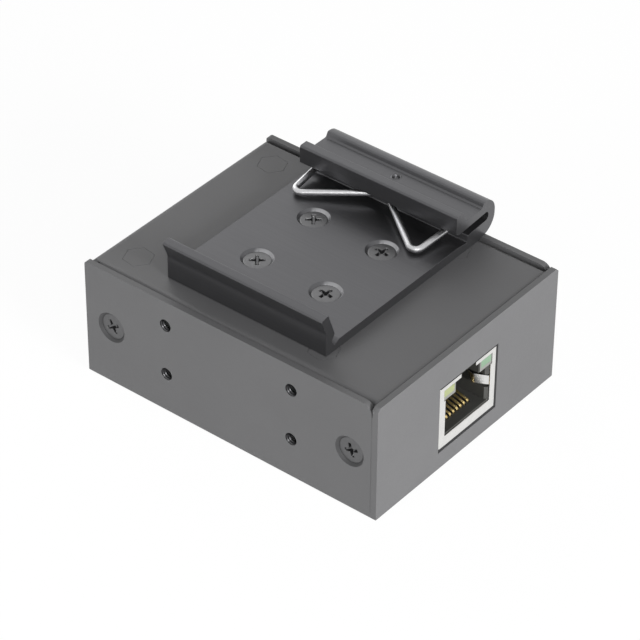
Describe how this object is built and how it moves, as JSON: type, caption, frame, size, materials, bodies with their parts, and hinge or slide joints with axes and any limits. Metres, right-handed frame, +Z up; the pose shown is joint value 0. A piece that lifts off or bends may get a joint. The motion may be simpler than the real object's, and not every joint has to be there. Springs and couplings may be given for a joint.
{
  "type": "usb ethernet adapter",
  "caption": "Black sheet-metal adapter box with a network socket in one end and a rail clip with a spring wire on its lid.",
  "frame": {"origin": "centre of the plain outer face of the tray's base, the face the box lies on", "axes": "+X along the box towards the network socket, +Y from the hook's side to the sprung jaw's side, +Z up out of the lid through the rail clip"},
  "size_m": [0.066, 0.0539, 0.0331],
  "materials": {
    "black_powder_coat": "fine-textured semi-gloss powder coat",
    "black_anodised": "satin black anodised",
    "spring_steel": "bright drawn wire",
    "dark_plated_steel": "black plated, slightly glossy",
    "zinc_plated_steel": "bright zinc plated",
    "board_laminate": "green solder mask",
    "nickel_plate": "nickel plated sheet",
    "black_moulding": "moulded black",
    "white_moulding": "moulded off-white",
    "milky_plastic": "translucent milky",
    "yellow_green_lens": "tinted translucent",
    "green_lens": "tinted translucent",
    "gilt_contact": "thin gold plate",
    "chip_moulding": "moulded epoxy",
    "drawn_steel": "bright drawn can",
    "ferrite": "sintered grey",
    "capacitor_sleeve": "bright can",
    "ceramic": "fired ceramic"
  },
  "bodies": {
    "root": {"housing_tray": "black_powder_coat", "housing_lid": "black_powder_coat", "din_rail_clip": "black_anodised", "spring_wire": "spring_steel", "clip_screws": "dark_plated_steel", "side_screws": "dark_plated_steel", "clip_nuts": "zinc_plated_steel", "side_nuts": "zinc_plated_steel", "board_standoffs": "black_powder_coat", "board_screws": "zinc_plated_steel", "circuit_board": "board_laminate", "jack_shield": "nickel_plate", "jack_insulator": "black_moulding", "left_light_pipe": "milky_plastic", "right_light_pipe": "milky_plastic", "left_lens": "yellow_green_lens", "right_lens": "green_lens", "usb_shell": "nickel_plate", "usb_insulator": "white_moulding", "jack_contact_1": "gilt_contact", "jack_contact_2": "gilt_contact", "jack_contact_3": "gilt_contact", "jack_contact_4": "gilt_contact", "jack_contact_5": "gilt_contact", "jack_contact_6": "gilt_contact", "jack_contact_7": "gilt_contact", "jack_contact_8": "gilt_contact", "usb_contact_1": "gilt_contact", "usb_contact_2": "gilt_contact", "usb_contact_3": "gilt_contact", "usb_contact_4": "gilt_contact", "controller_chip": "chip_moulding", "memory_chip": "chip_moulding", "crystal_can": "drawn_steel", "power_coil": "ferrite", "capacitor_1": "capacitor_sleeve", "capacitor_2": "capacitor_sleeve", "chip_passives": "ceramic"}
  },
  "joints": []
}
